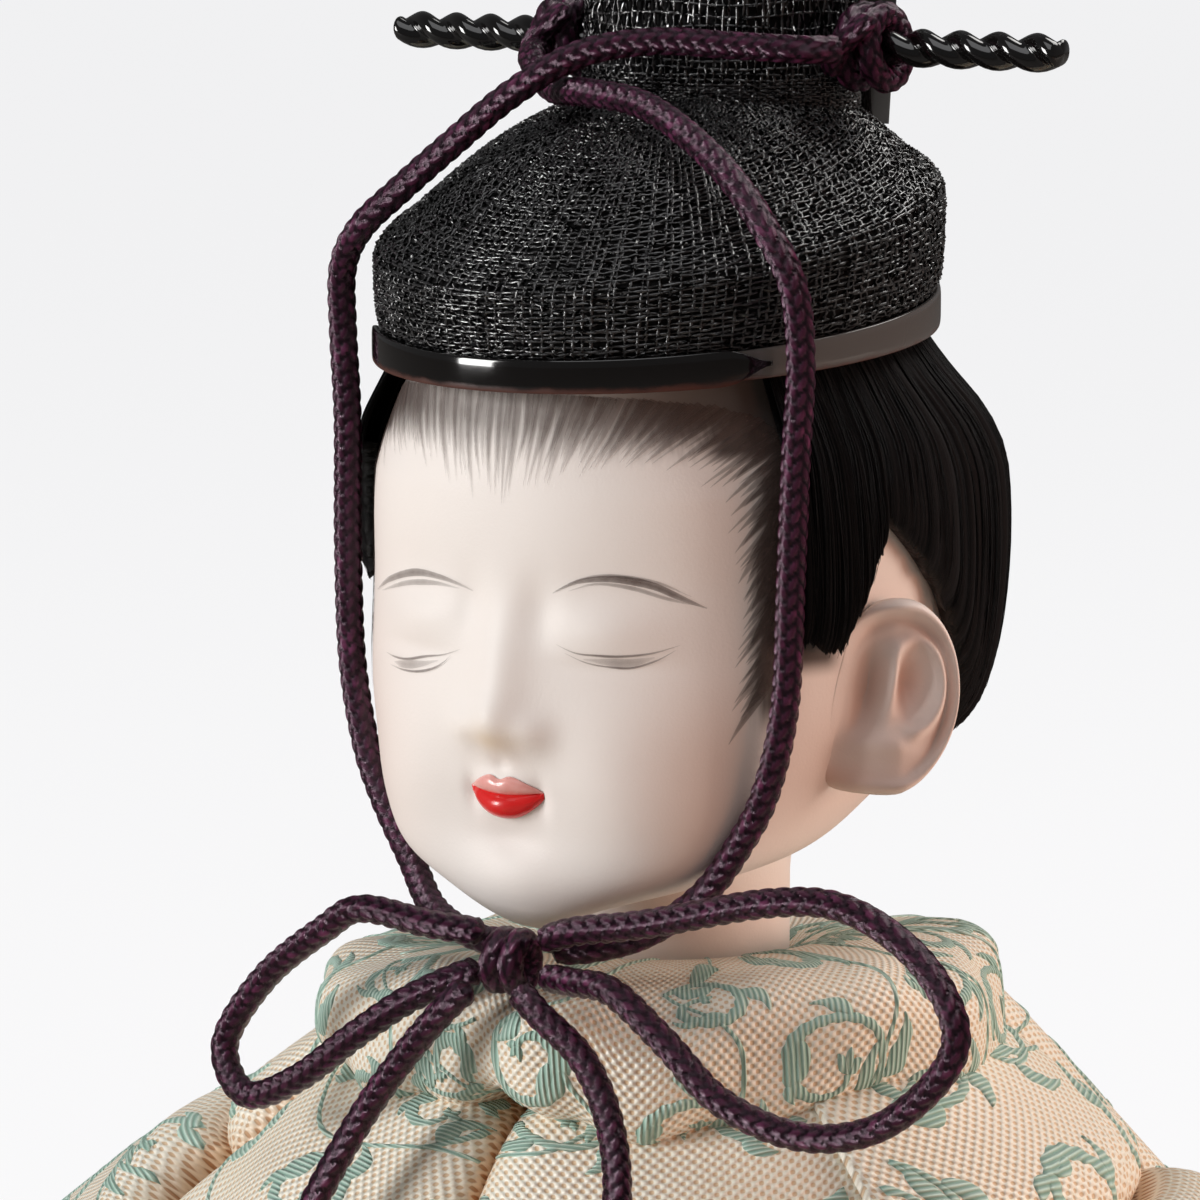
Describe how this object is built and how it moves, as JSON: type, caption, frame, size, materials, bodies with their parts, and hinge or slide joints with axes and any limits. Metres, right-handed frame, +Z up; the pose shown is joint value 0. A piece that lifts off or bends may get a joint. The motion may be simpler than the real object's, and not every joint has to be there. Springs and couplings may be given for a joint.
{
  "type": "hina doll",
  "caption": "Seated emperor hina doll in a padded brocade robe, with a lacquered gauze cap tied under the chin by a braided cord.",
  "frame": {"origin": "on the underside, under the axis of the neck peg", "axes": "+Z up, the doll faces -Y, and +X is the doll's left"},
  "size_m": [0.165, 0.1109, 0.1991],
  "materials": {
    "brocade": "cream plain weave with raised mint-green scrolls, padded",
    "hakama": "pale silk, padded",
    "lining": "red silk",
    "under_sleeve": "white silk",
    "core": "moulded wood-flour composite",
    "base_paper": "matt",
    "painted_skin": "matt shell-white paint on a moulded body",
    "hair": "black silk strands",
    "gauze": "black woven gauze, stiffened with lacquer",
    "lacquer": "gloss black lacquer",
    "cord": "round braided aubergine silk",
    "wood": "bare, smooth"
  },
  "bodies": {
    "robe": {"body_core": "core", "base_cover": "base_paper", "collar_roll": "brocade", "chest_left": "brocade", "chest_right": "brocade", "shoulder_left": "brocade", "shoulder_right": "brocade", "sleeve_left": "brocade", "sleeve_right": "brocade", "back_left": "brocade", "back_right": "brocade", "lap_panel": "brocade", "hakama_left": "hakama", "hakama_right": "hakama", "sleeve_lining_left": "lining", "sleeve_lining_right": "lining", "under_sleeve_left": "under_sleeve", "under_sleeve_right": "under_sleeve", "hand_left": "painted_skin", "hand_right": "painted_skin"},
    "peg": {"neck_peg": "wood"},
    "head": {"head": "painted_skin", "hair_back": "hair", "hair_side_left": "hair", "hair_side_right": "hair", "cap_shell": "gauze", "rim_back": "lacquer", "rim_front": "lacquer", "koji": "gauze", "hairpin": "lacquer", "pin_knot_left": "cord", "pin_knot_right": "cord", "cord_run_left": "cord", "cord_run_right": "cord", "bow_knot": "cord", "bow_loop_left": "cord", "bow_loop_right": "cord", "cord_tail_left": "cord", "cord_tail_right": "cord"},
    "cap_tail": {"cap_tail": "gauze"},
    "baton": {"baton": "wood"}
  },
  "joints": [
    {"name": "head_lift", "type": "slide", "parent": "robe", "child": "peg", "axis": [0, 0, 1], "range_m": [0, 0.026]},
    {"name": "head_turn", "type": "hinge", "parent": "peg", "child": "head", "pos_m": [0, 0, 0.09], "axis": [0, 0, 1], "range_deg": [-12, 12]},
    {"name": "tail_pull", "type": "slide", "parent": "head", "child": "cap_tail", "axis": [0, 0.1045, 0.9945], "range_m": [0, 0.01]},
    {"name": "baton_pull", "type": "slide", "parent": "robe", "child": "baton", "axis": [0, -0.1392, 0.9903], "range_m": [0, 0.02]}
  ]
}
